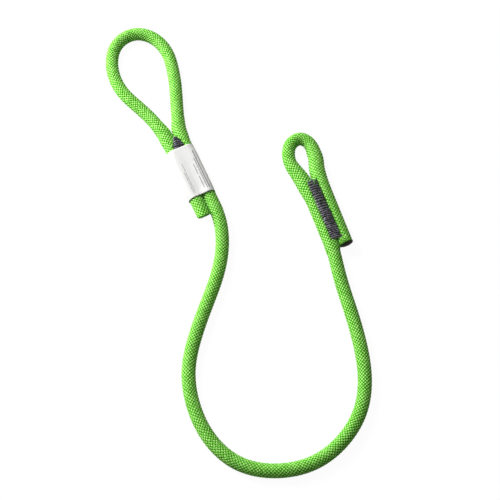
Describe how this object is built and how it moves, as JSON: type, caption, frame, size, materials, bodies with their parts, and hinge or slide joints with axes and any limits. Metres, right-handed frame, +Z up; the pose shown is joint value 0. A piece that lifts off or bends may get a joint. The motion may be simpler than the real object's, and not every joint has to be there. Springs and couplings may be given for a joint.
{
  "type": "self-belay lanyard",
  "caption": "Short climbing-rope lanyard with a sewn eye at each end, a long one and a small one, the long eye's sewing under a plain shrunk sleeve.",
  "frame": {"origin": "middle of the footprint of the laid-out lanyard, on the surface it rests on", "axes": "+Z up from that surface; +Y along the long side of the layout, towards the long eye; +X towards the small eye's side"},
  "size_m": [0.1956, 0.3508, 0.0138],
  "materials": {
    "braid": "woven polyamide braid, matte with a slight sheen",
    "core": "twisted polyamide yarn",
    "melted": "melted polyamide",
    "thread": "bonded polyester thread",
    "film": "shrunk film, semi-gloss"
  },
  "bodies": {
    "root": {"rope_sheath": "braid", "core_strand_1": "core", "core_strand_2": "core", "core_strand_3": "core", "core_strand_4": "core", "core_strand_5": "core", "core_strand_6": "core", "core_strand_7": "core", "big_eye_end_seal": "melted", "small_eye_end_seal": "melted", "big_eye_seam_top": "thread", "big_eye_seam_bottom": "thread", "small_eye_seam_top": "thread", "small_eye_seam_bottom": "thread", "label_sleeve": "film"}
  },
  "joints": []
}
